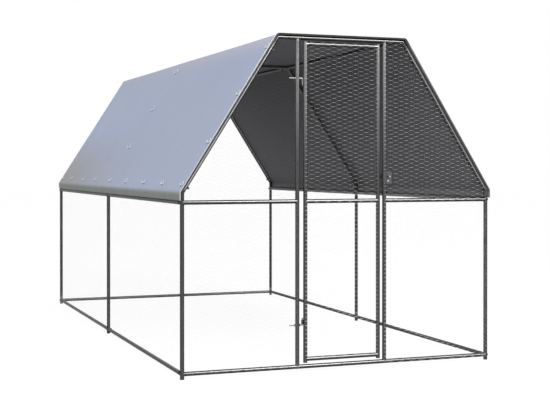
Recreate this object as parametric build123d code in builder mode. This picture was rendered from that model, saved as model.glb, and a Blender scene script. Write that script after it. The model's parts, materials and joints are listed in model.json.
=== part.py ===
"""Walk-in chicken coop: a galvanised tube frame with netted walls, a hinged door and a stretched roof cover.

Millimetres, +Z up. The origin is on the ground at the middle of the plan.
The door gable faces -Y, and +X is to the right of someone who faces it.
"""

import math
import os

from build123d import *

os.makedirs("parts", exist_ok=True)

# Frame: three portals, one bay apart
bay_length = 2000.0
frame_width = 2000.0
rail_height = 31.5
eave_rail_height = 1021.0
eave_bend_rise = 57.0
ridge_height = 2000.0
ridge_width = 824.0

# Tube and its joints
tube_diameter = 25.0
tube_wall = 1.0
saddle_gap = 0.2
tube_joint_gap = 0.5
post_above_rail = 3.0
eave_elbow_leg = 65.0
ridge_elbow_rafter_leg = 90.0
ridge_elbow_top_leg = 100.0

# Doorway and door leaf
door_post_spacing = 574.0
door_hinge_gap = 51.5
door_width = 480.0
door_top_clearance = 8.5
door_bottom_clearance = 9.0
door_top_rail_drop = 15.0
door_bottom_rail_rise = 22.0

# Door hinges: bent rods through the hinge post, and eyes on the door
hinge_upper_height = 1758.0
hinge_lower_height = 280.0
hinge_rod_diameter = 8.0
hinge_rod_tail = 38.5
hinge_arm_length = 42.0
hinge_eye_diameter = 14.0
hinge_eye_length = 26.0
hinge_eye_seat = 0.5
hinge_eye_clearance = 0.3
hinge_running_gap = 0.1
hinge_hole_gap = 0.2

# Door latch: a bolt that slides through the latch post, held in a two-part clamp
latch_rise = 148.0
latch_bolt_diameter = 8.0
latch_bolt_tip_chamfer = 2.0
latch_travel = 10.0
latch_tip_gap = 1.5
latch_running_gap = 0.1
latch_keeper_gap = 2.2
latch_bolt_tail = 9.0
latch_sheet = 2.0
latch_clamp_height = 77.0
latch_clamp_drop = 46.0
latch_clamp_reach = 48.0
latch_corner_radius = 8.0
latch_ear_gap = 10.0
latch_handle_diameter = 6.0
latch_handle_reach = 16.0
latch_handle_place = 29.0
latch_knob_diameter = 11.0
latch_knob_length = 7.0
latch_knob_chamfer = 2.5
latch_slot_gap = 0.4
latch_stop_height = 24.0
latch_stop_reach = 9.0
latch_stop_gap = 0.5
clamp_bolt_diameter = 6.0
clamp_bolt_place = 23.0
clamp_bolt_drop = 28.0
clamp_bolt_gap = 0.2
clamp_bolt_head_diameter = 12.0
clamp_bolt_head_height = 4.0
clamp_bolt_head_chamfer = 1.5
clamp_nut_width = 10.0
clamp_nut_thickness = 5.0

# Netting, with its cells drawn larger than the wire's own
net_thickness = 1.6
net_gap = 0.3
net_strand = 9.0
net_border = 12.0
net_cell_width = 500.0
net_cell_height = 352.0
net_twist_length = 235.0
net_foot_clearance = 20.0
net_eave_drop = 2.0
net_window_gap = 6.0

# Roof cover
cover_thickness = 1.2
cover_gap = 0.4
cover_overhang = 30.0
cover_hem_clearance = 1.5
cover_bend_radius = 3.0

# Worked-out places
tube_radius = tube_diameter / 2
bore_radius = tube_radius - tube_wall
seat_radius = tube_radius + saddle_gap
half_width = frame_width / 2
half_ridge = ridge_width / 2
eave_bend_height = eave_rail_height + eave_bend_rise
slope_run = half_width - half_ridge
slope_rise = ridge_height - eave_bend_height
slope_length = math.hypot(slope_run, slope_rise)
slope_angle = math.atan2(slope_rise, slope_run)
post_top = eave_rail_height + tube_radius + post_above_rail
latch_height = eave_rail_height + latch_rise
front_y = -bay_length
rear_y = bay_length
frames = {"front": front_y, "mid": 0.0, "rear": rear_y}
bays = {"front": (front_y, 0.0), "rear": (0.0, rear_y)}
sides = {"left": -1, "right": 1}
X_AXIS = Vector(1, 0, 0)
Y_AXIS = Vector(0, 1, 0)
Z_AXIS = Vector(0, 0, 1)

hinge_post_x = -door_post_spacing / 2
latch_post_x = door_post_spacing / 2
hinge_stile_x = hinge_post_x + door_hinge_gap
latch_stile_x = hinge_stile_x + door_width
door_bottom = rail_height + tube_radius + door_bottom_clearance
door_top = ridge_height - tube_radius - door_top_clearance
door_rail_heights = {
    "top": door_top - door_top_rail_drop,
    "middle": eave_rail_height,
    "bottom": door_bottom + door_bottom_rail_rise,
}
hinge_axis_x = hinge_stile_x - tube_radius - hinge_eye_diameter / 2 + hinge_eye_seat
hinges = {"upper": (hinge_upper_height, -1), "lower": (hinge_lower_height, 1)}


def save(piece, name):
    """Labels a finished piece and writes it under its own name."""
    piece.part.label = name
    export_step(piece.part, f"parts/{name}.step")


def on_slope(side, distance):
    """A point of the roof slope's centre line, measured up from the eave bend: X and Z."""
    x = half_width - distance * math.cos(slope_angle)
    z = eave_bend_height + distance * math.sin(slope_angle)
    return side * x, z


def tubes(runs, cuts=(), trims=(), open_ended=False):
    """Round tubes from point to point, cut away round the tubes and rods that they meet.

    cuts are (plane, radius) and go both ways along the plane's normal; trims go one way.
    A tube with an end in the open shows its bore, and one that is closed at both ends stays solid.
    """
    with BuildPart() as piece:
        for start, end in runs:
            along = Vector(*end) - Vector(*start)
            with BuildSketch(Plane(start, z_dir=along)):
                Circle(tube_radius)
                if open_ended:
                    Circle(bore_radius, mode=Mode.SUBTRACT)
            extrude(amount=along.length)
        for plane, radius in cuts:
            with BuildSketch(plane):
                Circle(radius)
            extrude(amount=tube_diameter, both=True, mode=Mode.SUBTRACT)
        for plane, radius in trims:
            with BuildSketch(plane):
                Circle(radius)
            extrude(amount=tube_diameter, mode=Mode.SUBTRACT)
    return piece


def seat(point, direction):
    """The saddle that a tube's end needs to sit on another tube through this point."""
    return Plane(point, z_dir=direction), seat_radius


def bent_bars(y, routes, radius):
    """Round bars with sharp mitred bends in the upright plane at this Y; each route is points of X and Z."""
    with BuildPart() as piece:
        for route in routes:
            with BuildLine(Plane.XZ.offset(-y)) as path:
                Polyline(*route)
            with BuildSketch(Plane(path.line @ 0, z_dir=path.line % 0)):
                Circle(radius)
            sweep(path=path.line, transition=Transition.RIGHT)
    return piece


# Posts, elbows, rafters and top tubes of the three portals
for frame, y in frames.items():
    eave_corners = []
    ridge_corners = []
    for side_name, side in sides.items():
        x = side * half_width
        post = tubes([((x, y, 0), (x, y, post_top))], open_ended=True)
        save(post, f"post_{frame}_{side_name}")

        elbow_foot = (x, post_top + tube_joint_gap)
        eave_bend = (x, eave_bend_height)
        eave_corners.append((elbow_foot, eave_bend, on_slope(side, eave_elbow_leg)))

        rafter_low = on_slope(side, eave_elbow_leg + tube_joint_gap)
        rafter_high = on_slope(side, slope_length - ridge_elbow_rafter_leg - tube_joint_gap)
        rafter = tubes([((rafter_low[0], y, rafter_low[1]), (rafter_high[0], y, rafter_high[1]))])
        save(rafter, f"rafter_{frame}_{side_name}")

        ridge_bend = (side * half_ridge, ridge_height)
        ridge_top_end = (side * (half_ridge - ridge_elbow_top_leg), ridge_height)
        ridge_low_end = on_slope(side, slope_length - ridge_elbow_rafter_leg)
        ridge_corners.append((ridge_low_end, ridge_bend, ridge_top_end))
    save(bent_bars(y, eave_corners, tube_radius), f"eave_elbows_{frame}")
    save(bent_bars(y, ridge_corners, tube_radius), f"ridge_elbows_{frame}")

    top_reach = half_ridge - ridge_elbow_top_leg - tube_joint_gap
    top_tube = tubes([((-top_reach, y, ridge_height), (top_reach, y, ridge_height))])
    save(top_tube, f"top_tube_{frame}")

# Side rails, one to a bay at each level, saddled on the posts
for bay, (start_y, end_y) in bays.items():
    for side_name, side in sides.items():
        x = side * half_width
        for level, z in {"bottom": rail_height, "eave": eave_rail_height}.items():
            ends = ((x, start_y, z), (x, end_y, z))
            rail = tubes([ends], [seat(end, Z_AXIS) for end in ends])
            save(rail, f"{level}_rail_{bay}_{side_name}")

# Ridge purlins, butted against the ridge elbows at their bends
for bay, (start_y, end_y) in bays.items():
    for side_name, side in sides.items():
        start = (side * half_ridge, start_y + seat_radius, ridge_height)
        end = (side * half_ridge, end_y - seat_radius, ridge_height)
        save(tubes([(start, end)]), f"ridge_purlin_{bay}_{side_name}")

# Gable bottom rails, saddled on the corner posts and trimmed beside the side rails
for gable, y in {"front": front_y, "rear": rear_y}.items():
    inward = -Y_AXIS if y > 0 else Y_AXIS
    corners = [(side * half_width, y, rail_height) for side in sides.values()]
    seats = [seat(corner, Z_AXIS) for corner in corners]
    trims = [seat(corner, inward) for corner in corners]
    save(tubes([corners], seats, trims), f"{gable}_bottom_rail")

# Tie bars at eave height, from each front corner post to the door post beside it
for side_name, inner_x in {"left": hinge_post_x, "right": latch_post_x}.items():
    corner = (sides[side_name] * half_width, front_y, eave_rail_height)
    inner = (inner_x, front_y, eave_rail_height)
    tie_bar = tubes([(corner, inner)], [seat(corner, Z_AXIS), seat(inner, Z_AXIS)], [seat(corner, Y_AXIS)])
    save(tie_bar, f"tie_bar_{side_name}")

# Door posts, saddled on the bottom rail and under the top tube, with cross holes for the hinges and latch
hinge_hole_radius = hinge_rod_diameter / 2 + hinge_hole_gap
latch_hole_radius = latch_bolt_diameter / 2 + latch_running_gap
post_holes = {
    "hinge_post": (hinge_post_x, [height for height, _ in hinges.values()], hinge_hole_radius),
    "latch_post": (latch_post_x, [latch_height], latch_hole_radius),
}
for name, (x, heights, radius) in post_holes.items():
    foot = (x, front_y, rail_height)
    head = (x, front_y, ridge_height)
    cuts = [seat(foot, X_AXIS), seat(head, X_AXIS)]
    cuts += [(Plane((x, front_y, height), z_dir=X_AXIS), radius) for height in heights]
    save(tubes([(foot, head)], cuts), name)

# Door leaf: two stiles and three rails, with a keeper hole for the latch bolt
keeper_radius = latch_bolt_diameter / 2 + latch_keeper_gap
keeper = (Plane((latch_stile_x, front_y, latch_height), z_dir=X_AXIS), keeper_radius)
for name, x, holes in [("hinge", hinge_stile_x, []), ("latch", latch_stile_x, [keeper])]:
    ends = ((x, front_y, door_bottom), (x, front_y, door_top))
    save(tubes([ends], trims=holes, open_ended=True), f"door_{name}_stile")

for level, z in door_rail_heights.items():
    ends = ((hinge_stile_x, front_y, z), (latch_stile_x, front_y, z))
    save(tubes([ends], [seat(end, Z_AXIS) for end in ends]), f"door_{level}_rail")

# Hinge rods: straight through the post, then bent into an arm, down at the top and up at the bottom
rod_radius = hinge_rod_diameter / 2
rod_tail_x = hinge_post_x - tube_radius - hinge_rod_tail
rod_routes = [
    ((rod_tail_x, height), (hinge_axis_x, height), (hinge_axis_x, height + turn * hinge_arm_length))
    for height, turn in hinges.values()
]
save(bent_bars(front_y, rod_routes, rod_radius), "hinge_rods")

# Hinge eyes on the door, seated on the stile: the lower one stands on its rod
with BuildPart() as hinge_eyes:
    for height, turn in hinges.values():
        eye_start = height + turn * (rod_radius + hinge_eye_clearance)
        with BuildSketch(Plane((hinge_axis_x, front_y, eye_start), z_dir=turn * Z_AXIS)):
            Circle(hinge_eye_diameter / 2)
            Circle(rod_radius + hinge_running_gap, mode=Mode.SUBTRACT)
        extrude(amount=hinge_eye_length)
    with BuildSketch(Plane((hinge_stile_x, front_y, door_bottom), z_dir=Z_AXIS)):
        Circle(tube_radius)
    extrude(amount=door_top - door_bottom, mode=Mode.SUBTRACT)
save(hinge_eyes, "hinge_eyes")

# Latch clamp: two pressed halves round the post, with ears that stand apart beside it
clamp_top = latch_height + latch_clamp_height - latch_clamp_drop
clamp_bottom = latch_height - latch_clamp_drop
clamp_inner = tube_radius + saddle_gap
clamp_outer = clamp_inner + latch_sheet
ear_end_x = latch_post_x + latch_clamp_reach
ear_mid_x = latch_post_x + latch_clamp_reach / 2
handle_x = latch_post_x + latch_handle_place
clamp_bolt_x = latch_post_x + clamp_bolt_place
clamp_bolt_z = latch_height - clamp_bolt_drop
slot_radius = latch_handle_diameter / 2 + latch_slot_gap
stop_end_x = latch_stile_x - latch_stop_reach
stop_face = tube_radius + latch_stop_gap


def clamp_half(facing):
    """One half of the clamp, on the -Y side for facing -1 and on the +Y side for facing 1."""
    ear_offset = facing * (latch_ear_gap / 2 + latch_sheet / 2)
    with BuildPart() as half:
        with BuildSketch(Plane.XY.offset(clamp_bottom)):
            with Locations((latch_post_x, front_y)):
                Circle(clamp_outer)
            with Locations((ear_mid_x, front_y + ear_offset)):
                Rectangle(latch_clamp_reach, latch_sheet)
            with Locations((latch_post_x, front_y)):
                Circle(clamp_inner, mode=Mode.SUBTRACT)
            with Locations((latch_post_x, front_y - facing * clamp_outer / 2 + facing * latch_ear_gap / 4)):
                Rectangle(2 * clamp_outer, clamp_outer + latch_ear_gap / 2, mode=Mode.SUBTRACT)
        extrude(amount=latch_clamp_height)
        ear_corners = half.edges().filter_by(Axis.Y).group_by(Axis.X)[-1]
        fillet(ear_corners, latch_corner_radius)
        if facing > 0:
            stop_plane = Plane((0, front_y + stop_face, latch_height), x_dir=X_AXIS, z_dir=Y_AXIS)
            stop_start_x = latch_post_x - tube_radius / 2
            with BuildSketch(stop_plane):
                with Locations(((stop_start_x + stop_end_x) / 2, 0)):
                    Rectangle(stop_start_x - stop_end_x, latch_stop_height)
            extrude(amount=latch_sheet)
            with BuildSketch(Plane((latch_post_x, front_y, clamp_bottom), z_dir=Z_AXIS)):
                Circle(clamp_inner)
            extrude(amount=latch_clamp_height, mode=Mode.SUBTRACT)
        ear_plane = Plane((0, front_y, latch_height), x_dir=X_AXIS, z_dir=facing * Y_AXIS)
        with BuildSketch(ear_plane):
            with Locations((clamp_bolt_x, facing * clamp_bolt_drop)):
                Circle(clamp_bolt_diameter / 2 + clamp_bolt_gap)
            if facing < 0:
                with Locations((handle_x - latch_travel / 2, 0)):
                    SlotCenterToCenter(latch_travel, 2 * slot_radius)
        extrude(amount=clamp_outer, mode=Mode.SUBTRACT)
    return half


save(clamp_half(-1), "latch_clamp_front")
save(clamp_half(1), "latch_clamp_rear")

# Latch bolt, drawn just clear of the door
bolt_tip_x = latch_stile_x + tube_radius + latch_tip_gap
bolt_end_x = handle_x + latch_bolt_tail
with BuildPart() as latch_bolt:
    with BuildSketch(Plane((bolt_tip_x, front_y, latch_height), z_dir=X_AXIS)):
        Circle(latch_bolt_diameter / 2)
    extrude(amount=bolt_end_x - bolt_tip_x)
    chamfer(latch_bolt.faces().sort_by(Axis.X)[0].edges(), latch_bolt_tip_chamfer)
save(latch_bolt, "latch_bolt")

# Latch handle: a pin seated on the bolt, with a round knob in front of the clamp
with BuildPart() as latch_handle:
    with BuildSketch(Plane((handle_x, front_y, latch_height), z_dir=-Y_AXIS)):
        Circle(latch_handle_diameter / 2)
    extrude(amount=latch_handle_reach)
    with BuildSketch(Plane((handle_x, front_y - latch_handle_reach, latch_height), z_dir=-Y_AXIS)):
        Circle(latch_knob_diameter / 2)
    extrude(amount=latch_knob_length)
    chamfer(latch_handle.faces().sort_by(Axis.Y)[0].edges(), latch_knob_chamfer)
    with BuildSketch(Plane((handle_x, front_y, latch_height), z_dir=X_AXIS)):
        Circle(latch_bolt_diameter / 2)
    extrude(amount=latch_handle_diameter, both=True, mode=Mode.SUBTRACT)
save(latch_handle, "latch_handle")

# Clamp bolt through both ears, with its nut behind
ear_face = latch_ear_gap / 2 + latch_sheet
with BuildPart() as clamp_bolt:
    bolt_plane = Plane((clamp_bolt_x, front_y - ear_face, clamp_bolt_z), x_dir=X_AXIS, z_dir=-Y_AXIS)
    with BuildSketch(bolt_plane):
        Circle(clamp_bolt_head_diameter / 2)
    extrude(amount=clamp_bolt_head_height)
    chamfer(clamp_bolt.faces().sort_by(Axis.Y)[0].edges(), clamp_bolt_head_chamfer)
    with BuildSketch(bolt_plane):
        Circle(clamp_bolt_diameter / 2)
    extrude(amount=-2 * ear_face - clamp_nut_thickness)
    with BuildSketch(Plane((clamp_bolt_x, front_y + ear_face, clamp_bolt_z), x_dir=X_AXIS, z_dir=Y_AXIS)):
        RegularPolygon(clamp_nut_width / 2, 6, major_radius=False)
    extrude(amount=clamp_nut_thickness)
save(clamp_bolt, "clamp_bolt")


def netting(plane, outline, window=None):
    """A flat net: one face with hexagonal gaps, cut to this outline, its twisted wires level.

    window is a clear place round a fitting: its middle and its size.
    """
    slant = net_cell_width - net_twist_length
    flat = net_twist_length / 2
    tall = (net_cell_height - net_strand) / 2
    wide = flat + slant - net_strand
    cell = [(wide, 0), (flat, tall), (-flat, tall), (-wide, 0), (-flat, -tall), (flat, -tall)]
    across = [point[0] for point in outline]
    upright = [point[1] for point in outline]
    columns = math.ceil((max(across) - min(across)) / net_cell_width) + 1
    rows = math.ceil((max(upright) - min(upright)) / net_cell_height) + 1
    middle_x = (max(across) + min(across)) / 2
    places = []
    for column in range(columns):
        x = middle_x + (column - (columns - 1) / 2) * net_cell_width
        for row in range(rows):
            places.append((x, min(upright) + (row + column % 2 / 2) * net_cell_height))
    with BuildSketch() as gaps:
        with BuildLine():
            Polyline(*outline, close=True)
        make_face()
        offset(amount=-net_border, kind=Kind.INTERSECTION)
        with BuildSketch(mode=Mode.PRIVATE) as cells:
            with Locations(*places):
                Polygon(*cell)
        add(cells.sketch, mode=Mode.INTERSECT)
    with BuildPart() as net:
        with BuildSketch(plane):
            with BuildLine():
                Polyline(*outline, close=True)
            make_face()
            add(gaps.sketch, mode=Mode.SUBTRACT)
            if window:
                with Locations(window[0]):
                    Rectangle(*window[1], mode=Mode.SUBTRACT)
        extrude(amount=net_thickness)
    return net


# Wall nets, hung on the outside of the tubes
net_foot = net_foot_clearance
net_eave = eave_rail_height + tube_radius - net_eave_drop
net_offset = tube_radius + net_gap
side_outline = [(front_y, net_foot), (rear_y, net_foot), (rear_y, net_eave), (front_y, net_eave)]
side_planes = {
    "left": Plane((-half_width - net_offset, 0, 0), x_dir=-Y_AXIS, z_dir=-X_AXIS),
    "right": Plane((half_width + net_offset, 0, 0), x_dir=Y_AXIS, z_dir=X_AXIS),
}
for side_name, plane in side_planes.items():
    save(netting(plane, side_outline), f"net_{side_name}")

gable_half = [(half_width, net_foot), (half_width, eave_bend_height), (half_ridge, ridge_height)]
rear_outline = gable_half + [(-x, z) for x, z in reversed(gable_half)]
rear_plane = Plane((0, rear_y + net_offset, 0), x_dir=-X_AXIS, z_dir=Y_AXIS)
save(netting(rear_plane, rear_outline), "net_rear")

front_plane = Plane((0, front_y - net_offset, 0), x_dir=X_AXIS, z_dir=-Y_AXIS)
hinge_panel = [(-x, z) for x, z in gable_half] + [(hinge_post_x, ridge_height), (hinge_post_x, net_foot)]
save(netting(front_plane, hinge_panel), "net_front_left")

latch_panel = gable_half + [(latch_post_x, ridge_height), (latch_post_x, net_foot)]
window_left = latch_post_x - clamp_outer
window_right = ear_end_x + net_window_gap
window_place = ((window_left + window_right) / 2, (clamp_top + clamp_bottom) / 2)
window_size = (window_right - window_left, latch_clamp_height + 2 * net_window_gap)
save(netting(front_plane, latch_panel, (window_place, window_size)), "net_front_right")

door_outline = [
    (hinge_stile_x, door_bottom),
    (latch_stile_x, door_bottom),
    (latch_stile_x, door_top),
    (hinge_stile_x, door_top),
]
save(netting(front_plane, door_outline), "net_door")

# Roof cover, stretched over the portals and turned down at the eaves
cover_offset = tube_radius + cover_gap
cover_hem_height = eave_rail_height + tube_radius + cover_hem_clearance
eave_x = half_width + cover_offset
eave_z = eave_bend_height + cover_offset * math.cos(slope_angle) / (1 + math.sin(slope_angle))
ridge_x = half_ridge + cover_offset * math.sin(slope_angle) / (1 + math.cos(slope_angle))
ridge_z = ridge_height + cover_offset
with BuildPart() as cover:
    with BuildSketch(Plane.XZ):
        with BuildLine():
            FilletPolyline(
                (-eave_x, cover_hem_height),
                (-eave_x, eave_z),
                (-ridge_x, ridge_z),
                (ridge_x, ridge_z),
                (eave_x, eave_z),
                (eave_x, cover_hem_height),
                radius=cover_bend_radius,
            )
            offset(amount=cover_thickness, side=Side.LEFT)
        make_face()
    extrude(amount=bay_length + cover_overhang, both=True)
save(cover, "cover")
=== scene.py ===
"""Walk-in chicken coop: finishes, netting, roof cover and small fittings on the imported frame.

Metres, +Z up, the door gable faces -Y. Where the tubes run is read from the frame's own boxes.
"""

import json
import math

import bmesh
import bpy
from mathutils import Matrix, Vector


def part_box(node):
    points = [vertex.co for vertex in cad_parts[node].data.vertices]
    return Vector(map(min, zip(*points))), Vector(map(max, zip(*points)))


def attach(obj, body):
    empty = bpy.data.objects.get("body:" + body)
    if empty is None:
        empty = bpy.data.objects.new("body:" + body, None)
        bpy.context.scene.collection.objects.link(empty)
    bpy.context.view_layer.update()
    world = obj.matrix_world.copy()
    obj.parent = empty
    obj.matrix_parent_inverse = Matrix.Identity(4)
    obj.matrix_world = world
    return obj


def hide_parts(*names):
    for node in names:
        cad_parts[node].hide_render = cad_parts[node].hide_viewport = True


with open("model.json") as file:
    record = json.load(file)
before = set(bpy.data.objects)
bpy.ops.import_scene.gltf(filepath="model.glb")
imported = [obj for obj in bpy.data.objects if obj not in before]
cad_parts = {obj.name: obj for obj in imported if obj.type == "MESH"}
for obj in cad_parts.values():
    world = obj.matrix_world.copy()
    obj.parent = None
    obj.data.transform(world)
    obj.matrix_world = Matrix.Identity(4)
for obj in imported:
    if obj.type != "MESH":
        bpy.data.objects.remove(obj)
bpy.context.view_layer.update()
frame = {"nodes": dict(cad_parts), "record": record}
nodes = frame["nodes"]


def middle_of(node, axis):
    """The middle of a node's box along x, y or z."""
    low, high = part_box(node)
    return (getattr(low, axis) + getattr(high, axis)) / 2


# Where the frame's tubes run
post_low, post_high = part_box("post_front_left")
tube_radius = (post_high.x - post_low.x) / 2
half_width = -middle_of("post_front_left", "x")
front_y = middle_of("post_front_left", "y")
rear_y = -front_y
frame_rows = {"front": front_y, "mid": 0.0, "rear": rear_y}
ridge_z = middle_of("top_tube_front", "z")
half_ridge = middle_of("ridge_purlin_front_right", "x")
rail_z = middle_of("bottom_rail_front_left", "z")
tie_low, tie_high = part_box("tie_bar_left")
tie_z = middle_of("tie_bar_left", "z")
eave_bend_rise = 0.057
eave_z = tie_z + eave_bend_rise
slope_rise = ridge_z - eave_z
slope_angle = math.atan2(slope_rise, half_width - half_ridge)
quarter_turn = math.pi / 2


class Socket:
    """One output of a shader's nodes. Sums, differences and products of sockets add Math nodes."""

    def __init__(self, tree, output):
        self.tree = tree
        self.output = output

    def node(self, kind, settings=None, inputs=None, output=0):
        """A new node: its type, its settings, its sockets' values or links, and the output to go on with."""
        made = self.tree.nodes.new(kind)
        for name, value in (settings or {}).items():
            setattr(made, name, value)
        for name, value in (inputs or {}).items():
            if isinstance(value, Socket):
                self.tree.links.new(value.output, made.inputs[name])
            else:
                made.inputs[name].default_value = value
        return Socket(self.tree, made.outputs[output])

    def math(self, operation, *values):
        return self.node("ShaderNodeMath", {"operation": operation}, dict(enumerate(values)))

    def __add__(self, other):
        return self.math("ADD", self, other)

    def __sub__(self, other):
        return self.math("SUBTRACT", self, other)

    def __rsub__(self, other):
        return self.math("SUBTRACT", other, self)

    def __mul__(self, other):
        return self.math("MULTIPLY", self, other)

    __radd__ = __add__
    __rmul__ = __mul__

    def __neg__(self):
        return 0 - self

    def __abs__(self):
        return self.math("ABSOLUTE", self)

    def larger(self, other):
        return self.math("MAXIMUM", self, other)

    def step(self, low, high):
        """0 below low, 1 above high and a smooth rise between them."""
        settings = {"interpolation_type": "SMOOTHSTEP"}
        return self.node("ShaderNodeMapRange", settings, {0: self, 1: low, 2: high})

    def blend(self, first, second):
        """From the first colour to the second as this value goes from 0 to 1."""
        settings = {"data_type": "RGBA", "clamp_factor": True}
        return self.node("ShaderNodeMix", settings, {0: self, 6: first, 7: second}, 2)

    def scaled(self, factor):
        """A colour, lighter or darker by a factor."""
        return self.node("ShaderNodeVectorMath", {"operation": "SCALE"}, {"Vector": self, "Scale": factor})

    def part(self, axis):
        return self.node("ShaderNodeSeparateXYZ", None, {0: self}, "XYZ".index(axis))

    def stretched(self, x, y, z):
        return self.node("ShaderNodeMapping", None, {"Vector": self, "Scale": (x, y, z)})

    def noise(self, scale, detail):
        return self.node("ShaderNodeTexNoise", None, {"Vector": self, "Scale": scale, "Detail": detail})

    def feeds(self, shader, name):
        self.tree.links.new(self.output, shader.inputs[name])


def grey(value):
    """A linear grey."""
    return (value, value, value, 1.0)


def new_finish(name, **settings):
    """A new material, its shader with the settings that don't vary, and a socket of Object coordinates."""
    material = bpy.data.materials.new(name)
    material.use_nodes = True
    tree = material.node_tree
    shader = tree.nodes["Principled BSDF"]
    for socket, value in settings.items():
        shader.inputs[socket.replace("_", " ")].default_value = value
    place = Socket(tree, tree.nodes.new("ShaderNodeTexCoord").outputs["Object"])
    return material, shader, place


def bump(shader, height, depth):
    """Feeds a height, in metres times depth, to the shader's normal."""
    normal = height.node("ShaderNodeBump", None, {"Strength": 1.0, "Distance": depth, "Height": height})
    normal.feeds(shader, "Normal")


def galvanised_tube():
    """Dull zinc on tube: spangle and run marks over greys that go by where a tube lies and faces, many of
    them painted light and shade.

    Each step gives the two places, or the two slants of the surface, between which a mark sets in.
    """
    material, shader, place = new_finish("galvanised_tube", Specular_Tint=grey(0.05), Specular_IOR_Level=0.1)
    spangle = place.node("ShaderNodeTexVoronoi", None, {"Vector": place, "Scale": 90.0}, "Color").part("X")
    streaks = place.stretched(60, 60, 7).noise(1.0, 4.0)
    across = place.part("X")
    aside = abs(across)
    along = place.part("Y")
    height = place.part("Z")
    facing = place.node("ShaderNodeTexCoord", None, None, "Normal")
    sideways = facing.part("X")
    backward = facing.part("Y")
    upward = facing.part("Z")

    # Which tube it is: in the front gable or behind it, under the cover, at the doorway or by the ground
    inner = along.step(front_y + 0.02, front_y + 0.06)
    outer = 1 - inner
    gables = abs(along).step(rear_y - 0.2, rear_y - 0.1)
    off_ridge = (half_ridge + 0.01, half_ridge + 0.04)
    slopes = aside.step(*off_ridge) * height.step(eave_z + 0.01, eave_z + 0.03)
    right_rafter = across.step(*off_ridge) * height.step(eave_z - 0.045, eave_z - 0.035) * outer
    roofed = inner * height.step(eave_z, eave_z + 0.1)
    top_tube = height.step(ridge_z - 0.02, ridge_z - 0.014) * outer
    doorway_edge = (0.31, 0.36)
    doorway = 1 - aside.step(*doorway_edge)
    right_tie_bar = across.step(0.45, 0.8)
    right_wall = across.step(half_width - 0.05, half_width - 0.03) * inner
    right_eave_rail = (1 - abs(height - tie_z).step(0.016, 0.02)) * right_wall
    low = 1 - height.step(0.06, 0.08)
    right_bottom_rail = right_wall * low
    rear_bottom_rail = along.step(rear_y - 0.05, rear_y - 0.02) * low

    # Which side of the tube it is: its underside (painted shade), an upper strip and the door's upper stiles
    # (painted highlights), the right rafter's sheltered side (painted light), a painted highlight laid like
    # a weld line, or a top painted paler
    under = (-upward).step(0.05, 0.35)
    edge = upward.step(0.1, 0.25) * (1 - upward.step(0.35, 0.5)) * (1 - slopes) * outer
    upright = 1 - abs(upward).step(0.1, 0.3)
    stile_inside = (0.214, 0.221)
    stiles = doorway * outer * upright * aside.step(*stile_inside) * (1 - top_tube)
    door_head_reflection = height.step(1.1, 1.9) * stiles
    flank = (-sideways).step(0.5, 0.85) * doorway * outer * height.step(1.05, 1.15)
    painted_lee_light = sideways.step(0.1, 0.3) * right_rafter
    highlight_x, highlight_y, highlight_z = 0.243, -0.945, 0.186
    rear_highlight_facing = sideways * highlight_x + backward * highlight_y + upward * highlight_z
    seam_highlight = (inner * rear_highlight_facing - outer * backward).step(0.94, 0.965) * slopes * gables
    dust_and_light = upward.step(0.2, 0.9) * (1 - height.step(0.1, 0.3)) * 0.2

    # The greys, each laid over the one before
    # The front top tube is painted lighter: a painted highlight.
    front_zinc = top_tube.blend(doorway.blend(grey(0.075), grey(0.086)), grey(0.14))
    inner_zinc = rear_bottom_rail.blend(right_bottom_rail.blend(grey(0.05), grey(0.1)), grey(0.2))
    # Undersides darker: a painted shade.
    zinc = under.blend(inner.blend(front_zinc, inner_zinc), grey(0.042))
    # The right eave rail is painted lighter: painted light in the cover's shade.
    zinc = right_eave_rail.blend(zinc, grey(0.22))
    # The right rafter's sheltered outer side is painted lighter: painted light.
    zinc = painted_lee_light.blend(zinc, grey(0.2))
    # The doorway's stiles are painted lighter high up: a painted reflection of the lamps above.
    zinc = door_head_reflection.blend(zinc, grey(0.23))
    # A painted highlight along an upper strip of the front tubes, lighter towards the right end and less
    # bright high up.
    highlight_grey = height.step(1.2, 1.9).blend(grey(0.125), grey(0.085))
    zinc = edge.blend(zinc, right_tie_bar.blend(highlight_grey, grey(0.38)))
    zinc = roofed.blend(zinc, grey(0.105))
    # The tops of the low rails are painted paler: dirt on them, and a painted highlight from above.
    zinc = dust_and_light.blend(zinc, grey(0.36))
    # A pale line along the front and rear rafters: a painted highlight, laid like a weld line, brightest on
    # the rear rafters.
    front_highlight_grey = across.step(-0.1, 0.1).blend(grey(0.36), grey(0.3))
    zinc = seam_highlight.blend(zinc, inner.blend(front_highlight_grey, grey(0.95)))
    zinc.scaled(spangle * 0.16 + streaks * 0.3 + 0.75).feeds(shader, "Base Color")
    metal = 1.0 - dust_and_light * 0.4 - inner * 0.6 - seam_highlight * roofed * 0.4 - painted_lee_light * 0.7 - flank * 0.33
    metal.feeds(shader, "Metallic")
    (0.14 + streaks * 0.1).feeds(shader, "Roughness")
    bump(shader, spangle * 0.3 + streaks, 0.00002)
    return material


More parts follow.
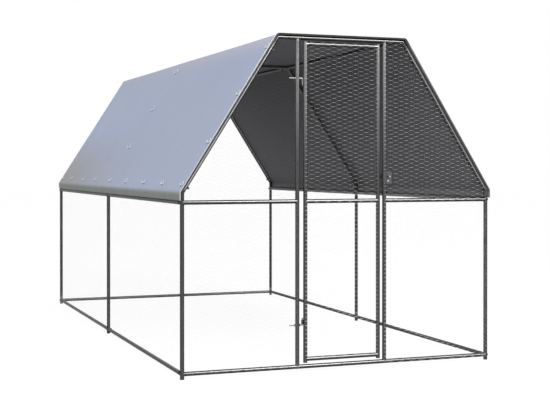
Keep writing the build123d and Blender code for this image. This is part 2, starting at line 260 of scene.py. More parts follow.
def netting_wire(name, shade_grey, fresh=0.98, corner=None, tubes=()):
    """Drawn wire: its own grey below the eave, a painted shade above it, under the roof, and a painted
    shadow where the net lies on tubes.

    A corner that stays unshaded above the eave ends at the line height = limit - slope * across.
    """
    material, shader, place = new_finish(name)
    coat = place.noise(240.0, 3.0)
    unshaded_wire = coat.blend(grey(fresh - 0.08), grey(fresh))
    height = place.part("Z")
    soft_edge = 0.004
    painted_wire_shade = height.step(tie_low.z - soft_edge, tie_low.z)
    if corner:
        slope, limit = corner
        cornered = 1 - (height + place.part("X") * slope).step(limit, limit + 0.03)
        painted_wire_shade = painted_wire_shade * (1 - cornered * height.step(tie_high.z, tie_high.z + soft_edge))
    for axis, middle in tubes:
        beside = abs(place.part(axis) - middle).step(tube_radius, tube_radius + 0.003)
        painted_wire_shade = painted_wire_shade.larger(1 - beside)
    painted_wire_shade.blend(unshaded_wire, grey(shade_grey)).feeds(shader, "Base Color")
    (0.4 + coat * 0.2).feeds(shader, "Roughness")
    (0.2 + coat * 0.1).feeds(shader, "Metallic")
    return material


def bright_zinc():
    """Polished zinc plate on rods, nuts and bolts, duller near the ground and near the ridge."""
    material, shader, place = new_finish("bright_zinc")
    polish = place.stretched(500, 500, 500).noise(1.0, 3.0)
    height = place.part("Z")
    fresh = polish.blend(grey(0.4), grey(0.54))
    high = height.step(tie_z + 0.3, ridge_z - 0.3).blend(fresh, polish.blend(grey(0.2), grey(0.3)))
    height.step(0.3, tie_z).blend(grey(0.2), high).feeds(shader, "Base Color")
    (0.85 + polish * 0.1).feeds(shader, "Metallic")
    (0.18 + polish * 0.2).feeds(shader, "Roughness")
    bump(shader, polish, 0.0001)
    return material


def latch_steel():
    """Grey plated steel of the latch clamp and the frame's bolts, with its rolling marks."""
    material, shader, place = new_finish("latch_steel")
    rolled = place.stretched(900, 900, 60).noise(1.0, 3.0)
    rolled.blend(grey(0.05), grey(0.085)).feeds(shader, "Base Color")
    (0.6 + rolled * 0.3).feeds(shader, "Metallic")
    (0.32 + rolled * 0.2).feeds(shader, "Roughness")
    bump(shader, rolled, 0.0001)
    return material


def blackened_steel():
    """Oiled black steel of the latch bolt, the eyelets and the shadow lines of the rail joints; on the
    eyelets it also stands in as the ties' painted shadows.
    """
    material, shader, place = new_finish("blackened_steel", Specular_IOR_Level=0.3)
    oil = place.noise(300.0, 3.0)
    oil.blend(grey(0.008), grey(0.022)).feeds(shader, "Base Color")
    (0.4 + oil * 0.3).feeds(shader, "Roughness")
    return material


# Pale blue-grey of the ties and the hem's tape
pale_scuffed = (0.57, 0.605, 0.68, 1)
pale_clean = (0.67, 0.705, 0.77, 1)


def tie_plastic():
    """Pale moulded plastic of the cover's ties, a little scuffed."""
    material, shader, place = new_finish("tie_plastic")
    scuff = place.noise(260.0, 3.0)
    scuff.blend(pale_scuffed, pale_clean).feeds(shader, "Base Color")
    (0.4 + scuff * 0.25).feeds(shader, "Roughness")
    bump(shader, scuff, 0.0002)
    return material


def weave(place):
    """Woven cloth: the height of threads that cross along all three axes."""
    thread_pitch = 0.004
    threads = None
    for axis in "XYZ":
        turn = place.part(axis) * (2 * math.pi / thread_pitch)
        thread = turn.math("SINE", turn)
        threads = thread if threads is None else threads + thread
    return threads


def cover_outside():
    """Coated cloth: silver-blue slopes, greyer at the low rear, a painted highlight along the top, and a
    painted shade, tinted grey-green, below the eave.
    """
    material, shader, place = new_finish("cover_outside", Specular_IOR_Level=0.35)
    cloud = place.stretched(1.0, 0.6, 1.0).noise(1.7, 3.0)
    creases = place.stretched(3, 9, 3).noise(1.0, 4.0)
    along = place.part("Y").step(front_y, rear_y)
    height = place.part("Z")
    front = cloud.blend((0.325, 0.385, 0.545, 1), (0.375, 0.415, 0.54, 1))
    rear = cloud.blend((0.37, 0.445, 0.64, 1), (0.43, 0.485, 0.64, 1))
    low_rear = along * along * (1 - height.step(eave_z + 0.02, eave_z + 0.5))
    cloth = low_rear.blend(along.blend(front, rear), (0.335, 0.335, 0.345, 1))
    # A painted highlight along the ridge, where the rounded top takes the light.
    top = height.step(ridge_z - 0.12, ridge_z + 0.01)
    cloth = top.blend(cloth, (0.44, 0.465, 0.575, 1))
    # Below the eave the cloth faces sideways: it gets a painted shade, tinted grey-green.
    painted_skirt_shade = 1 - height.step(eave_z - 0.018, eave_z + 0.02)
    painted_skirt_shade.blend(cloth, (0.155, 0.172, 0.152, 1)).feeds(shader, "Base Color")
    (0.5 + creases * 0.15).feeds(shader, "Roughness")
    bump(shader, weave(place) * 0.05 + creases * 3.0, 0.001)
    return material


def cover_inside():
    """The cloth's dark backing: lighter to the rear and low down, where it is painted light from the floor,
    with a painted shadow in front of the middle frame and painted light on the turned-down edges.
    """
    material, shader, place = new_finish("cover_inside", Specular_IOR_Level=0.2)
    cloud = place.noise(2.3, 3.0)
    along = place.part("Y")
    height = place.part("Z")
    # Lighter low down: painted light from the floor, over a random cloudy tone.
    lower = 1 - height.step(eave_z, ridge_z)
    dust_and_light = cloud * 0.3 + lower * 0.6 + along.step(front_y, rear_y) * 0.25
    backing = dust_and_light.blend((0.073, 0.0715, 0.0775, 1), (0.1055, 0.1035, 0.112, 1))
    # A painted shadow of the middle frame's rafter on the cloth in front of it.
    painted_rafter_shadow = along.step(-0.19, -0.13) * (1 - along.step(-0.02, 0.0))
    backing = (painted_rafter_shadow * 0.75).blend(backing, (0.06, 0.0587, 0.0635, 1))
    # The turned-down edges are painted lighter: painted light in the eave's shade.
    painted_skirt_light = 1 - height.step(eave_z - 0.035, eave_z + 0.01)
    painted_skirt_light.blend(backing, (0.19, 0.187, 0.194, 1)).feeds(shader, "Base Color")
    (0.7 + cloud * 0.1).feeds(shader, "Roughness")
    bump(shader, weave(place) * 0.05, 0.001)
    return material


def hem_tape():
    """Pale binding tape round the cover's front hem."""
    material, shader, place = new_finish("hem_tape", Roughness=0.75)
    yarn = place.noise(700.0, 2.0)
    yarn.blend(pale_scuffed, pale_clean).feeds(shader, "Base Color")
    bump(shader, yarn, 0.0004)
    return material


def hem_roll():
    """The dark backing, rolled into the hems, painted lighter on the right slope: painted light from the
    right.
    """
    material, shader, place = new_finish("hem_roll", Specular_IOR_Level=0.2)
    yarn = place.noise(420.0, 3.0)
    fresh = yarn.blend((0.03, 0.032, 0.017, 1), (0.054, 0.057, 0.034, 1))
    right_lit_roll = yarn.blend((0.095, 0.097, 0.082, 1), (0.15, 0.152, 0.13, 1))
    # Painted light: the roll is lighter on the right slope, as if lit from the right.
    right_slope = place.part("X").step(half_ridge + 0.02, half_ridge + 0.05)
    right_slope.blend(fresh, right_lit_roll).feeds(shader, "Base Color")
    (0.7 + yarn * 0.2).feeds(shader, "Roughness")
    bump(shader, yarn, 0.0004)
    return material


wall_tubes = [("Z", rail_z), ("Z", tie_z)] + [("Y", y) for y in frame_rows.values()]
left_post = [("X", -half_width)]
eave_corner = (1.725, 0.28)
finishes = {
    "galvanised_tube": galvanised_tube(),
    "netting": netting_wire("netting_wire", 0.56),
    # Wall netting is painted dark above the eave and where it lies on rails and posts: painted shade and
    # painted shadow.
    "wall_netting": netting_wire("wall_netting_wire", 0.12, tubes=wall_tubes),
    "pale_netting": netting_wire("pale_netting_wire", 0.95),
    # Netting painted dark above the eave and over the left post: painted shade, except a corner left light.
    "dull_netting": netting_wire("shaded_netting_wire", 0.05, fresh=0.6, corner=eave_corner, tubes=left_post),
    "bright_zinc": bright_zinc(),
    "latch_steel": latch_steel(),
    "blackened_steel": blackened_steel(),
    "tie_plastic": tie_plastic(),
}
cloth_finishes = [cover_outside(), cover_inside(), hem_tape(), hem_roll()]
outer_cloth, inner_cloth, tape, roll = range(len(cloth_finishes))


def paint(piece, *materials):
    piece.data.materials.clear()
    for material in materials:
        piece.data.materials.append(material)


for subpart in frame["record"]["subparts"]:
    if subpart["material_slot"] in finishes:
        paint(nodes[subpart["node"]], finishes[subpart["material_slot"]])
paint(nodes["latch_bolt"], finishes["blackened_steel"])


def deselect():
    bpy.ops.object.select_all(action="DESELECT")


def select(piece):
    """Selects one piece alone, as the active one."""
    deselect()
    piece.select_set(True)
    bpy.context.view_layer.objects.active = piece


def primitive(kind, **settings):
    """Adds a primitive with nothing else selected, and its place in its mesh."""
    deselect()
    getattr(bpy.ops.mesh, f"primitive_{kind}_add")(**settings)
    bpy.ops.object.transform_apply(location=True, rotation=True, scale=True)
    return bpy.context.object


def editing(piece):
    """Edit mode on one piece, with all of it selected."""
    select(piece)
    bpy.ops.object.mode_set(mode="EDIT")
    bpy.ops.mesh.select_mode(type="VERT")
    bpy.ops.mesh.select_all(action="SELECT")


def done():
    bpy.ops.object.mode_set(mode="OBJECT")


def pick(piece, test):
    """In edit mode, selects the faces whose middle and normal pass the test."""
    bpy.ops.mesh.select_mode(type="FACE")
    bpy.ops.mesh.select_all(action="DESELECT")
    shape = bmesh.from_edit_mesh(piece.data)
    for face in shape.faces:
        face.select_set(test(face.calc_center_median(), face.normal))
    shape.select_flush_mode()
    bmesh.update_edit_mesh(piece.data)


def pick_top(piece):
    pick(piece, lambda place, normal: normal.z > 0.9)


def extrude(x, y, z):
    """In edit mode, draws what is selected out by this way."""
    bpy.ops.mesh.extrude_region_move(TRANSFORM_OT_translate={"value": (x, y, z)})


def cut(point, normal, **settings):
    """In edit mode, cuts the whole piece along a plane."""
    bpy.ops.mesh.select_all(action="SELECT")
    bpy.ops.mesh.bisect(plane_co=point, plane_no=normal, **settings)


def face_outward():
    """In edit mode, turns all faces outwards."""
    bpy.ops.mesh.select_all(action="SELECT")
    bpy.ops.mesh.normals_make_consistent(inside=False)


def close_ends():
    """In edit mode, fills the open ends and turns all faces outwards."""
    bpy.ops.mesh.select_all(action="SELECT")
    bpy.ops.mesh.fill_holes(sides=0)
    face_outward()


def copy_of(piece):
    """A copy with its own mesh."""
    select(piece)
    bpy.ops.object.duplicate()
    return bpy.context.object


def joined(pieces):
    """One piece of several, with its place in its mesh."""
    select(pieces[0])
    for piece in pieces:
        piece.select_set(True)
    if len(pieces) > 1:
        bpy.ops.object.join()
    bpy.ops.object.transform_apply(location=True, rotation=True, scale=True)
    return bpy.context.object


def apply_modifier(piece, kind, **settings):
    bpy.context.view_layer.objects.active = piece
    modifier = piece.modifiers.new(kind.lower(), kind)
    for name, value in settings.items():
        setattr(modifier, name, value)
    bpy.ops.object.modifier_apply(modifier=modifier.name)


def place_piece(piece, name, body, slot, *materials):
    """Names a finished piece, paints it where it has no paint yet and lets it ride on its body."""
    piece.name = name
    piece.data.name = name
    if materials:
        paint(piece, *materials)
    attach(piece, body)


# Netting: hexagonal wire with its twisted sides level. A gauge is the wire's radius and how many times as
# thick it is in the middle of a twist.
wire_gauge = (0.00021, 3.0)
fine_gauge = (0.00015, 1.2)
side_gauge = (0.00015, 2.0)
column_pitch = 0.036
row_pitch = 0.0255
twist_length = 0.020
twist_reach = 0.0004
net_clearance = 0.0011
net_offset = tube_radius + net_clearance
first_row = 0.31 * row_pitch
first_twist = 0.2 * twist_length
net_lap = 0.006
clamp_room = 0.006
stile_margin = 0.0105


def zigzag_wire(radius, twist):
    """One wire, two columns long: a three-sided ring drawn out along two twists and two slants."""
    slant = column_pitch - twist_length
    half_twist = twist_length / 2
    rise = row_pitch / 2
    dip = 2 * twist_reach
    plain = 1 / twist
    wire = primitive(
        "circle",
        vertices=3,
        radius=radius,
        fill_type="NOTHING",
        location=(0, twist_reach, twist_reach),
        rotation=(0, quarter_turn, 0),
    )
    editing(wire)
    moves = [
        (half_twist, -twist_reach, -dip, twist),
        (half_twist, -twist_reach, dip, plain),
        (slant, 2 * twist_reach, rise - dip, 1),
        (half_twist, -twist_reach, dip, twist),
        (half_twist, -twist_reach, -dip, plain),
        (slant, 2 * twist_reach, dip - rise, 1),
    ]
    for x, y, z, growth in moves:
        extrude(x, y, z)
        bpy.ops.transform.resize(value=(1, growth, growth))
    face_outward()
    done()
    return wire


def repeat(piece, step, count, **settings):
    """Sets out copies of a piece in a row, each one step from the last."""
    apply_modifier(
        piece,
        "ARRAY",
        use_relative_offset=False,
        use_constant_offset=True,
        constant_offset_displace=step,
        count=count,
        **settings,
    )


def wire_field(width, height, radius, twist):
    """A flat field of netting in the XZ plane, from the origin on."""
    upper = zigzag_wire(radius, twist)
    lower = copy_of(upper)
    lower.matrix_world = Matrix.Rotation(math.pi, 4, "X")
    field = joined([upper, lower])
    columns = math.ceil(width / (2 * column_pitch)) + 1
    rows = math.ceil(height / row_pitch) + 2
    repeat(field, (2 * column_pitch, 0, 0), columns, use_merge_vertices=True, merge_threshold=0.0001)
    repeat(field, (0, 0, row_pitch), rows)
    return field


def cut_net(node, body, middle, turn, outline, window=None, finish="netting", gauge=wire_gauge):
    """A net cut to a wall, in place of its node: the wall's middle, its turn about Z and its outline.

    The corners of the outline and of the window are (across, height).
    """
    across = [corner[0] for corner in outline]
    heights = [corner[1] for corner in outline]
    net = wire_field(max(across) - min(across), max(heights) - min(heights), *gauge)
    net.location = (min(across) - first_twist, 0, min(heights) - first_row)
    joined([net])
    editing(net)
    for start, end in zip(outline, outline[1:] + outline[:1]):
        edge = Vector((end[0] - start[0], 0, end[1] - start[1]))
        outward = Vector((edge.z, 0, -edge.x)).normalized()
        cut((start[0], 0, start[1]), outward, use_fill=True, clear_outer=True)
    if window:
        (left, bottom), (right, top) = window
        for x in (left, right):
            cut((x, 0, 0), (1, 0, 0))
        for z in (bottom, top):
            cut((0, 0, z), (0, 0, 1))
        pick(net, lambda place, normal: left < place.x < right and bottom < place.z < top)
        bpy.ops.mesh.delete(type="FACE")
    close_ends()
    done()
    net.matrix_world = Matrix.Translation(middle) @ Matrix.Rotation(turn, 4, "Z")
    joined([net])
    bpy.ops.object.shade_smooth()
    place_piece(net, node.replace("net_", "netting_"), body, "netting", finishes[finish])
    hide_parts(node)


def netting():
    """The six nets, on the outside of the tubes."""
    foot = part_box("net_left")[0].z
    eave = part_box("net_left")[1].z
    side = [(front_y, foot), (rear_y, foot), (rear_y, eave), (front_y, eave)]
    wall = half_width + net_offset
    cut_net("net_left", "frame", (-wall, 0, 0), -quarter_turn, side, finish="wall_netting", gauge=side_gauge)
    cut_net("net_right", "frame", (wall, 0, 0), quarter_turn, side, finish="wall_netting", gauge=side_gauge)

    right = [(half_width, foot), (half_width, eave_z), (half_ridge, ridge_z)]
    left = [(-x, z) for x, z in reversed(right)]
    rear = (0, rear_y + net_offset, 0)
    cut_net("net_rear", "frame", rear, math.pi, right + left, finish="pale_netting", gauge=side_gauge)

    front = (0, front_y - net_offset, 0)
    hinge_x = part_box("net_front_left")[1].x
    hinge_side = left + [(hinge_x, foot), (hinge_x, ridge_z)]
    cut_net("net_front_left", "frame", front, 0, hinge_side, finish="dull_netting", gauge=fine_gauge)

    latch_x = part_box("net_front_right")[0].x - net_lap
    latch_side = right + [(latch_x, ridge_z), (latch_x, foot)]
    clamp_low, clamp_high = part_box("latch_clamp_front")
    window = (
        (clamp_low.x, clamp_low.z - clamp_room),
        (clamp_high.x + clamp_room, clamp_high.z + clamp_room),
    )
    cut_net("net_front_right", "frame", front, 0, latch_side, window)

    door_low, door_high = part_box("net_door")
    sill = middle_of("door_bottom_rail", "z") + net_lap
    hinge_edge = door_low.x - net_lap
    latch_edge = door_high.x - stile_margin
    leaf = [(hinge_edge, sill), (latch_edge, sill), (latch_edge, door_high.z), (hinge_edge, door_high.z)]
    cut_net("net_door", "door", front, 0, leaf)


netting()


# Roof cover: coated cloth stretched over the portal frames, turned down at the eaves
cover_low, cover_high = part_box("cover")
cloth_thickness = 0.0012
cloth_offset = cover_high.z - ridge_z - cloth_thickness / 2
cloth_stations = 233
top_steps, ridge_steps, slope_steps, eave_steps, skirt_steps = 10, 7, 26, 6, 4
hem_drop = 0.0025
hem_z = cover_low.z - hem_drop
hem_width = 0.022
front_hem = 0.012
rear_hem = 0.004
hem_pull = 0.45

# How the cloth gives between two frames
slope_sag = 0.009
top_sag = 0.006
eave_sag = 0.004

# Bend radii over the ridge and the eave: on a frame, more between frames and more past the gables
ridge_bend, ridge_slack, ridge_flare = 0.004, 0.010, 0.016
eave_bend, eave_slack, eave_flare = 0.006, 0.016, 0.010

# Faint folds, from fold_start on to the rear. Each wave of them: how close the folds lie, how far and how
# often they wander, their phase, and the wave's share of the height.
fold_height = 0.0024
fold_start = 0.4
fold_slant = 0.35
fold_waves = [(11, 2.2, 5.3, 0, 0.65), (29, 3.1, 3.7, 1, 0.35)]


def near_frame(y):
    """1 at a portal frame or past it, falling to 0 between two frames."""
    if abs(y) >= rear_y:
        return 1.0
    share = (y % rear_y) / rear_y
    return math.cos(math.pi * share) ** 2


def up_slope(z):
    """0 at the eave and below it, 1 at the ridge and above it."""
    return min(max((z - eave_z) / slope_rise, 0.0), 1.0)


def turned_corner(corner, before, after, radius, steps):
    """Points of a round corner between two straight runs."""
    into = (corner - before).normalized()
    out = (after - corner).normalized()
    half_turn = into.angle(out) / 2
    reach = radius * math.tan(half_turn)
    centre = corner + (out - into).normalized() * radius / math.cos(half_turn)
    start = corner - into * reach - centre
    end = corner + out * reach - centre
    return [centre + start.slerp(end, step / steps) * radius for step in range(steps + 1)]


def spread(start, end, count):
    """Inner points of a straight run."""
    return [start.lerp(end, step / count) for step in range(1, count)]


def fold_lift(y, climb):
    """How far the folds stand out: they run down the slope and fade towards the middle and the ridge."""
    reach = max(y - fold_start, 0.0) / (cover_high.y - fold_start)
    fan = y + fold_slant * climb
    lift = 1
    for close, wander, often, phase, share in fold_waves:
        lift += share * math.sin(close * fan + wander * math.sin(often * y + phase))
    return fold_height * reach * lift * (1 - climb) ** 1.5


def cloth_line(y):
    """The cloth's right half at this place along the coop, from the middle of the top to the hem."""
    slack = 1 - near_frame(y)
    past = abs(y) > rear_y + tube_radius
    ridge_radius = ridge_bend + ridge_slack * slack + ridge_flare * past
    eave_radius = eave_bend + eave_slack * slack + eave_flare * past
    half_fold = (quarter_turn - slope_angle) / 2
    middle = Vector((0, 0, ridge_z + cloth_offset))
    ridge = Vector((half_ridge + cloth_offset * math.tan(slope_angle / 2), 0, ridge_z + cloth_offset))
    eave = Vector((half_width + cloth_offset, 0, eave_z + cloth_offset * math.tan(half_fold)))
    foot = Vector((half_width + cloth_offset, 0, hem_z))
    ridge_turn = turned_corner(ridge, middle, eave, ridge_radius, ridge_steps)
    eave_turn = turned_corner(eave, ridge, foot, eave_radius, eave_steps)
    line = [middle] + spread(middle, ridge_turn[0], top_steps) + ridge_turn
    line += spread(ridge_turn[-1], eave_turn[0], slope_steps) + eave_turn
    line += spread(eave_turn[-1], foot, skirt_steps) + [foot]
    inward = Vector((-math.sin(slope_angle), 0, -math.cos(slope_angle)))
    sagged = []
    for point in line:
        lift = Vector()
        if point.x < half_ridge:
            drop = Vector((0, 0, -top_sag * math.cos(point.x / half_ridge * quarter_turn) ** 2))
        else:
            climb = up_slope(point.z)
            drop = inward * (slope_sag * math.sin(math.pi * climb) + eave_sag * (1 - climb) ** 6)
            lift = -inward * fold_lift(y, climb)
            if point.z < eave_z:
                held_low = max((point.z - hem_z) / (eave_z - hem_z), 0.0)
                drop *= held_low
                lift *= held_low
        sagged.append(point + drop * slack + lift)
    return sagged


def whole_line(y):
    """Both halves of the cloth's line, from the left hem to the right hem."""
    right = cloth_line(y)
    left = [Vector((-point.x, 0, point.z)) for point in reversed(right[1:])]
    return [Vector((point.x, y, point.z)) for point in left + right]


def roof_cover():
    """The cloth as one sheet, shaped from a grid, with its backing as a second face, and its flat width."""
    middle_line = whole_line(0.0)
    columns = len(middle_line)
    flat_width = sum((after - before).length for before, after in zip(middle_line, middle_line[1:]))
    sheet = primitive("grid", x_subdivisions=columns - 1, y_subdivisions=cloth_stations - 1, size=1)
    corners = sorted(sheet.data.vertices, key=lambda corner: (round(corner.co.y, 4), corner.co.x))
    for row in range(cloth_stations):
        y = cover_low.y + (cover_high.y - cover_low.y) * row / (cloth_stations - 1)
        line = whole_line(y)
        for column in range(columns):
            corners[row * columns + column].co = line[column]
    sheet.data.update()
    bpy.ops.object.shade_smooth()
    paint(sheet, *cloth_finishes)
    apply_modifier(
        sheet,
        "SOLIDIFY",
        thickness=cloth_thickness,
        offset=0,
        material_offset=inner_cloth,
        material_offset_rim=roll,
    )
    place_piece(sheet, "roof_cover", "frame", "roof_cover")
    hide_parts("cover")
    return sheet, flat_width


def cover_hem(name, y, thickness, taped):
    """A rolled hem at one end of the cover: an oval drawn along the cloth's line, taped or plain outside."""
    line = whole_line(y)
    sides = 14
    shape = bmesh.new()
    rings = []
    for place, point in enumerate(line):
        before = line[max(place - 1, 0)]
        after = line[min(place + 1, len(line) - 1)]
        run = (after - before).normalized()
        outward = Vector((-run.z, 0, run.x))
        height = thickness * (hem_pull + (1 - hem_pull) * up_slope(point.z))
        ring = []
        for side in range(sides):
            angle = 2 * math.pi * side / sides
            lift = outward * (height / 2 * (1 + math.sin(angle)) - cloth_thickness / 2)
            ring.append(shape.verts.new(point + lift + Vector((0, hem_width / 2 * math.cos(angle), 0))))
        rings.append(ring)
    for first, second in zip(rings, rings[1:]):
        for side in range(sides):
            after = (side + 1) % sides
            shape.faces.new((first[side], first[after], second[after], second[side]))
    shape.faces.new(rings[0])
    shape.faces.new(reversed(rings[-1]))
    bmesh.ops.recalc_face_normals(shape, faces=shape.faces)
    skin, lean, limit = (tape, 0.6, 0.3) if taped else (outer_cloth, 0, -0.2)
    for face in shape.faces:
        middle = face.calc_center_median()
        outward = Vector((middle.x, lean, middle.z - tie_z)).normalized()
        face.material_index = skin if face.normal.dot(outward) > limit else roll
        face.smooth = True
    mesh = bpy.data.meshes.new(name)
    hem = bpy.data.objects.new(name, mesh)
    paint(hem, *cloth_finishes)
    shape.to_mesh(mesh)
    shape.free()
    bpy.context.scene.collection.objects.link(hem)
    place_piece(hem, name, "frame", "roof_cover")
    return hem


cover, cover_width = roof_cover()
hems = [
    cover_hem("cover_hem_front", cover_low.y + hem_width / 2, front_hem, True),
    cover_hem("cover_hem_rear", cover_high.y - hem_width / 2, rear_hem, False),
]


# Small fittings: nuts, bolt heads, screws, joint lines and the cover's ties
def dome_head(radius, height):
    """A round bolt head on its washer, standing on the XY plane."""
    washer = height * 0.2
    rim = radius * 0.25
    dome = [(0.45, 0.92), (0.25, 0.72), (0.1, 0.5)]
    head = primitive("cylinder", vertices=14, radius=radius + rim, depth=washer, location=(0, 0, washer / 2))
    editing(head)
    pick_top(head)
    bpy.ops.mesh.inset(thickness=rim)
    for rise, narrowing in dome:
        extrude(0, 0, height * rise)
        bpy.ops.transform.resize(value=(narrowing, narrowing, 1))
    done()
    return head


def hex_nut(width, height, stud):
    """A nut, its width across the flats, with the bolt's end standing out of it, on the XY plane."""
    chamfer = height * 0.15
    chamfer_width = width * 0.08
    stud_margin = width * 0.13
    stud_bevel = width * 0.05
    flat = height - chamfer
    nut = primitive(
        "cylinder", vertices=6, radius=width / math.sqrt(3), depth=flat, location=(0, 0, flat / 2)
    )
    editing(nut)
    pick_top(nut)
    bpy.ops.mesh.inset(thickness=chamfer_width)
    bpy.ops.transform.translate(value=(0, 0, chamfer))
    bpy.ops.mesh.inset(thickness=stud_margin)
    extrude(0, 0, stud)
    bpy.ops.mesh.inset(thickness=stud_bevel)
    bpy.ops.transform.translate(value=(0, 0, stud_bevel))
    done()
    return nut


def joint_line(radius, width):
    """A narrow sleeve round a rail, along Z."""
    wall = 0.0007
    sleeve = primitive("cylinder", vertices=28, radius=radius, depth=width, end_fill_type="NOTHING")
    editing(sleeve)
    bpy.ops.mesh.extrude_region_shrink_fatten(TRANSFORM_OT_shrink_fatten={"value": wall})
    face_outward()
    done()
    return sleeve


def strap_tie(half_run, tail):
    """What shows of a plastic tie on the XY plane: a strap over an eyelet, and a tail that stands off."""
    half_strap, bend, hook = 0.0045, 0.010, 0.004
    flatness = 0.8
    tail_rise = tail * 0.65
    height = half_strap * flatness
    strap = primitive(
        "circle",
        vertices=8,
        radius=half_strap,
        fill_type="NOTHING",
        location=(-half_run - bend, bend + hook, height),
        rotation=(quarter_turn, 0, 0),
    )
    editing(strap)
    extrude(0, -hook, 0)
    bpy.ops.mesh.spin(steps=3, angle=-quarter_turn, center=(-half_run, bend, height), axis=(0, 0, 1))
    extrude(2 * half_run, 0, 0)
    bpy.ops.mesh.spin(steps=3, angle=-quarter_turn, center=(half_run, bend, height), axis=(0, 0, 1))
    extrude(0, tail, tail_rise / flatness)
    close_ends()
    bpy.ops.transform.resize(value=(1, 1, flatness), center_override=(0, 0, height))
    done()
    return strap


def eyelet():
    """A long eyelet on the XY plane, half under its tie, with a lip round its dark slot; black and set below
    the tie, it also stands in as the tie's painted shadow on the cloth.
    """
    radius, length_ratio = 0.0048, 2
    lip_height, lip_width = 0.0016, 0.0012
    below_tie = 0.0045
    slot = primitive(
        "cylinder", vertices=16, radius=radius, depth=lip_height, location=(0, -below_tie, lip_height / 2)
    )
    editing(slot)
    bpy.ops.transform.resize(value=(length_ratio, 1, 1))
    pick_top(slot)
    bpy.ops.mesh.inset(thickness=lip_width)
    bpy.ops.transform.translate(value=(0, 0, -lip_height / 2))
    done()
    return slot


def set_out(master, name, slot, finish, places):
    """Copies a fitting to its places on the frame, each a point and the way it faces, as one piece."""
    sharpest_smooth = math.radians(40)
    copies = []
    for point, outward in places:
        copy = copy_of(master)
        turn = Vector(outward).to_track_quat("Z", "Y").to_matrix().to_4x4()
        copy.matrix_world = Matrix.Translation(point) @ turn
        copies.append(copy)
    bpy.data.objects.remove(master)
    whole = joined(copies)
    bpy.ops.object.shade_smooth_by_angle(angle=sharpest_smooth)
    place_piece(whole, name, "frame", slot, finishes[finish])


def frame_bolts():
    """Nuts under the rafters and top tubes, bolt heads on the posts, and their nuts inside some posts."""
    eave_nut, ridge_nut, top_nut = 0.042, 0.081, 0.044
    cos, sin = math.cos(slope_angle), math.sin(slope_angle)
    nuts, heads = [], []
    for row, y in frame_rows.items():
        for side in (-1, 1):
            up = Vector((-side * cos, 0, sin))
            inward = Vector((-side * sin, 0, -cos))
            eave = Vector((side * half_width, y, eave_z))
            ridge = Vector((side * half_ridge, y, ridge_z))
            nuts.append((eave + up * eave_nut + inward * tube_radius, inward))
            nuts.append((ridge - up * ridge_nut + inward * tube_radius, inward))
            nuts.append((ridge + Vector((-side * top_nut, 0, -tube_radius)), Vector((0, 0, -1))))
            for z in (rail_z, tie_z):
                out = Vector((side, 0, 0))
                post = Vector((side * half_width, y, z))
                heads.append((post + out * tube_radius, out))
                if row == "mid" or (row == "rear" and z == tie_z):
                    nuts.append((post - out * tube_radius, -out))
    nut = hex_nut(width=0.013, height=0.006, stud=0.005)
    set_out(nut, "frame_nuts", "latch_steel", "latch_steel", nuts)
    head = dome_head(radius=0.006, height=0.006)
    set_out(head, "frame_bolt_heads", "latch_steel", "latch_steel", heads)


def doorway_fastenings():
    """Nuts on the hinge rods at both sides of the hinge post, and screws at the ends of both door posts."""
    rod_low, rod_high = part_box("hinge_rods")
    rod_radius = 0.004
    hinge_x = middle_of("hinge_post", "x")
    latch_x = middle_of("latch_post", "x")
    nuts = []
    for z in (rod_low.z + rod_radius, rod_high.z - rod_radius):
        for out in (-1, 1):
            nuts.append(((hinge_x + out * tube_radius, front_y, z), (out, 0, 0)))
    nut = hex_nut(width=0.013, height=0.0065, stud=0.001)
    set_out(nut, "hinge_nuts", "bright_zinc", "bright_zinc", nuts)

    below_ridge = 0.018
    screws = []
    for x in (hinge_x, latch_x):
        for z in (rail_z, ridge_z - below_ridge):
            screws.append(((x, front_y - tube_radius, z), (0, -1, 0)))
    screw = dome_head(radius=0.005, height=0.004)
    set_out(screw, "door_post_screws", "bright_zinc", "bright_zinc", screws)


def rail_joints():
    """The dark joint lines in the middle of the rails."""
    line_width, line_gap = 0.004, 0.0001
    joints = [((0, front_y, rail_z), (1, 0, 0)), ((0, rear_y, rail_z), (1, 0, 0))]
    for side in (-1, 1):
        for y in (front_y / 2, rear_y / 2):
            for z in (rail_z, tie_z):
                joints.append(((side * half_width, y, z), (0, 1, 0)))
    line = joint_line(tube_radius + line_gap, line_width)
    set_out(line, "rail_joint_lines", "galvanised_tube", "blackened_steel", joints)


def on_cloth(side, y, z):
    """A point on the cloth's outside at this place along the coop and height, and the way it faces."""
    line = cloth_line(y)
    for above, below in zip(line, line[1:]):
        if above.z >= z > below.z:
            run = (below - above).normalized()
            point = above.lerp(below, (above.z - z) / (above.z - below.z))
            outward = Vector((-run.z, 0, run.x))
            point += outward * cloth_thickness / 2
            return Vector((side * point.x, y, point.z)), Vector((side * outward.x, 0, outward.z))


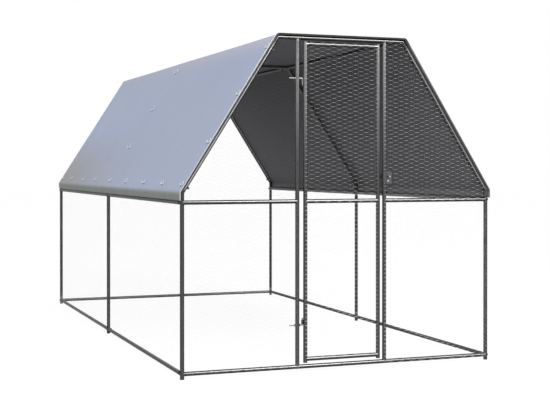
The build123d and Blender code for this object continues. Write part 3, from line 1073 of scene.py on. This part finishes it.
def cover_ties():
    """Ties along the eaves and the front edge, and larger ones up the middle frame, all over eyelets."""
    eave_tie_z = eave_z + 0.043
    last_tie = rear_y - 0.05
    eave_ties, tie_spacing = 9, 0.5
    middle_step, rear_shift = 4, 0.06
    front_tie = front_y + 0.032
    middle_tie = 0.07
    rib_heights = [ridge_z - 0.630, ridge_z - 0.347, ridge_z - 0.064]
    edge_places, middle_places = [], []
    for side in (-1, 1):
        for step in range(eave_ties):
            y = front_y + step * tie_spacing + (rear_shift if step > middle_step else 0)
            y = min(max(y, -last_tie), last_tie)
            edge_places.append(on_cloth(side, y, eave_tie_z))
        for z in rib_heights:
            edge_places.append(on_cloth(side, front_tie, z))
            middle_places.append(on_cloth(side, middle_tie, z))
    places = edge_places + middle_places
    set_out(eyelet(), "cover_eyelets", "roof_cover", "blackened_steel", places)
    edge_tie = strap_tie(half_run=0.020, tail=0.011)
    set_out(edge_tie, "edge_ties", "roof_cover", "tie_plastic", edge_places)
    large_tie = strap_tie(half_run=0.034, tail=0.017)
    set_out(large_tie, "middle_ties", "roof_cover", "tie_plastic", middle_places)


frame_bolts()
doorway_fastenings()
rail_joints()
cover_ties()


# Floor, light and camera
def white_to_the_eye(tree, share):
    """Is Camera Ray, Is Glossy Ray or Is Transmission Ray as one socket, times a share."""
    path = tree.nodes.new("ShaderNodeLightPath")
    seen = Socket(tree, path.outputs["Is Camera Ray"])
    for name in ("Is Glossy Ray", "Is Transmission Ray"):
        seen = seen.larger(Socket(tree, path.outputs[name]))
    return seen * share


def floor():
    """A plain pale floor, nearly white to the eye, that keeps a faint shadow."""
    floor_size = 120
    floor_grey = 0.8
    white_strength = 1.06
    white_share = 0.88
    ground = primitive("plane", size=floor_size)
    ground.name = "floor"
    material = bpy.data.materials.new("pale_floor")
    material.use_nodes = True
    tree = material.node_tree
    tree.nodes.clear()
    output = tree.nodes.new("ShaderNodeOutputMaterial")
    pale = tree.nodes.new("ShaderNodeBsdfDiffuse")
    pale.inputs["Color"].default_value = grey(floor_grey)
    white = tree.nodes.new("ShaderNodeEmission")
    white.inputs["Strength"].default_value = white_strength
    mix = tree.nodes.new("ShaderNodeMixShader")
    white_to_the_eye(tree, white_share).feeds(mix, 0)
    tree.links.new(pale.outputs[0], mix.inputs[1])
    tree.links.new(white.outputs[0], mix.inputs[2])
    tree.links.new(mix.outputs[0], output.inputs["Surface"])
    paint(ground, material)


def surroundings():
    """A white background to the eye, and an even grey light on the object."""
    even_light = 0.64
    world = bpy.data.worlds.new("studio")
    world.use_nodes = True
    tree = world.node_tree
    shade = tree.nodes["Background"]
    shade.inputs["Color"].default_value = grey(1)
    strength = white_to_the_eye(tree, 1 - even_light) + even_light
    strength.feeds(shade, "Strength")
    bpy.context.scene.world = world


def softbox(name, place, target, size, energy):
    """A large soft lamp that faces the coop."""
    deselect()
    bpy.ops.object.light_add(type="AREA", location=place)
    lamp = bpy.context.object
    lamp.name = name
    lamp.data.shape = "RECTANGLE"
    lamp.data.size, lamp.data.size_y = size
    lamp.data.energy = energy
    lamp.rotation_euler = (Vector(target) - Vector(place)).to_track_quat("-Z", "Y").to_euler()


def camera():
    """The photograph's view, in its own frame of pixels."""
    frame_width, frame_height = 550, 412
    focal_pixels = 1160.96
    centre_x, centre_y = 286.72, 172.95
    yaw, pitch = 0.3633, -0.0051
    view = bpy.data.cameras.new("camera")
    view.sensor_fit = "HORIZONTAL"
    view.sensor_width = 36.0
    view.lens = focal_pixels * view.sensor_width / frame_width
    view.shift_x = (frame_width / 2 - centre_x) / frame_width
    view.shift_y = (centre_y - frame_height / 2) / frame_width
    view.clip_end = 200
    eye = bpy.data.objects.new("camera", view)
    eye.location = (-2.8127, -8.4658, 1.2263)
    eye.rotation_euler = (quarter_turn + pitch, 0, -yaw)
    bpy.context.scene.collection.objects.link(eye)
    bpy.context.scene.camera = eye


floor()
surroundings()
softbox("softbox_right", place=(3.2, -9.4, 5.9), target=(0, -2.0, 1.0), size=(3.4, 5.6), energy=740)
softbox("softbox_left", place=(-4.2, -8.8, 5.8), target=(0, -2.0, 1.5), size=(2.4, 2.4), energy=330)
camera()
bpy.context.scene.view_settings.view_transform = "Standard"
